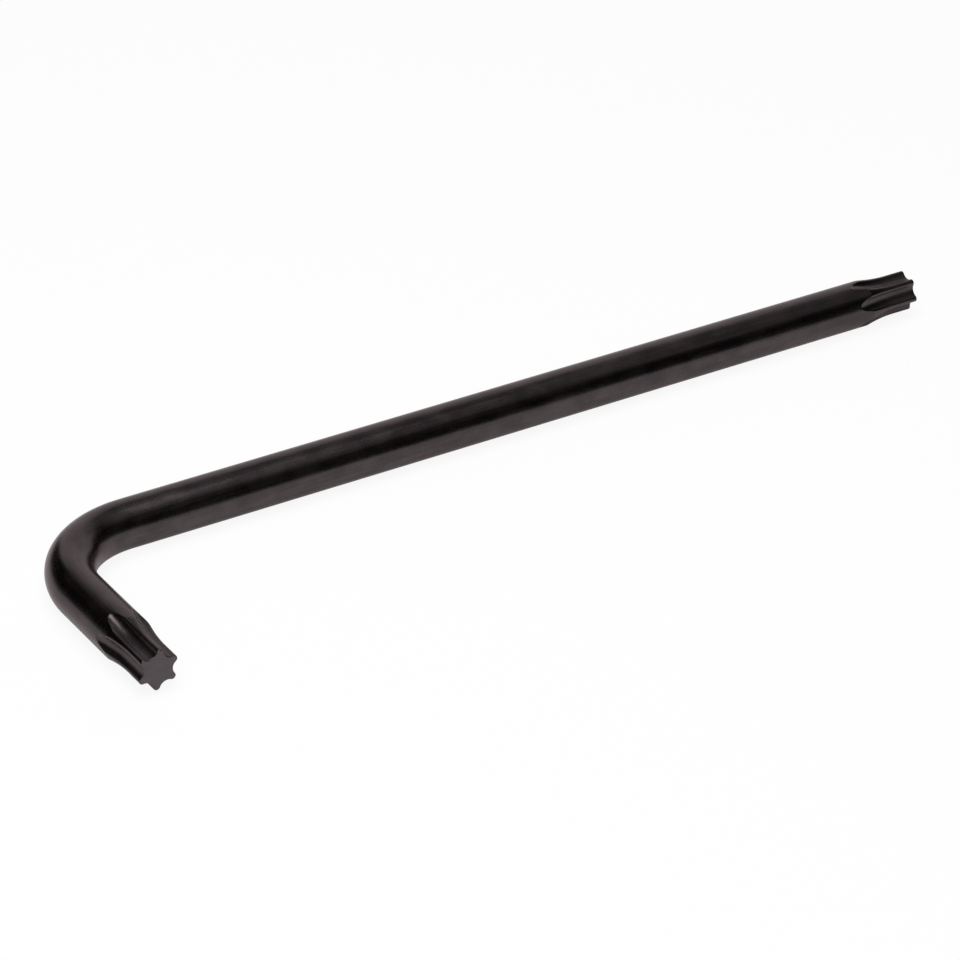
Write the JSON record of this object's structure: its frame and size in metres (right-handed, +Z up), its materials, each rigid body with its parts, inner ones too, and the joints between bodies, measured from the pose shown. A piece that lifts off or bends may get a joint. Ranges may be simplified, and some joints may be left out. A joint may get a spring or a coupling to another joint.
{
  "type": "star key",
  "caption": "L-shaped hand key bent from round steel bar, with a six-lobe star tip on each arm for turning star-recess screws.",
  "frame": {"origin": "middle of the key's box, on the surface that it lies flat on", "axes": "+X along the long arm towards its star, -Y along the short arm towards its star, +Z up, square to the plane of the L"},
  "size_m": [0.1396, 0.036, 0.0065],
  "materials": {
    "black_oxide_steel": "satin black oxide"
  },
  "bodies": {
    "root": {"key_bar": "black_oxide_steel"}
  },
  "joints": []
}
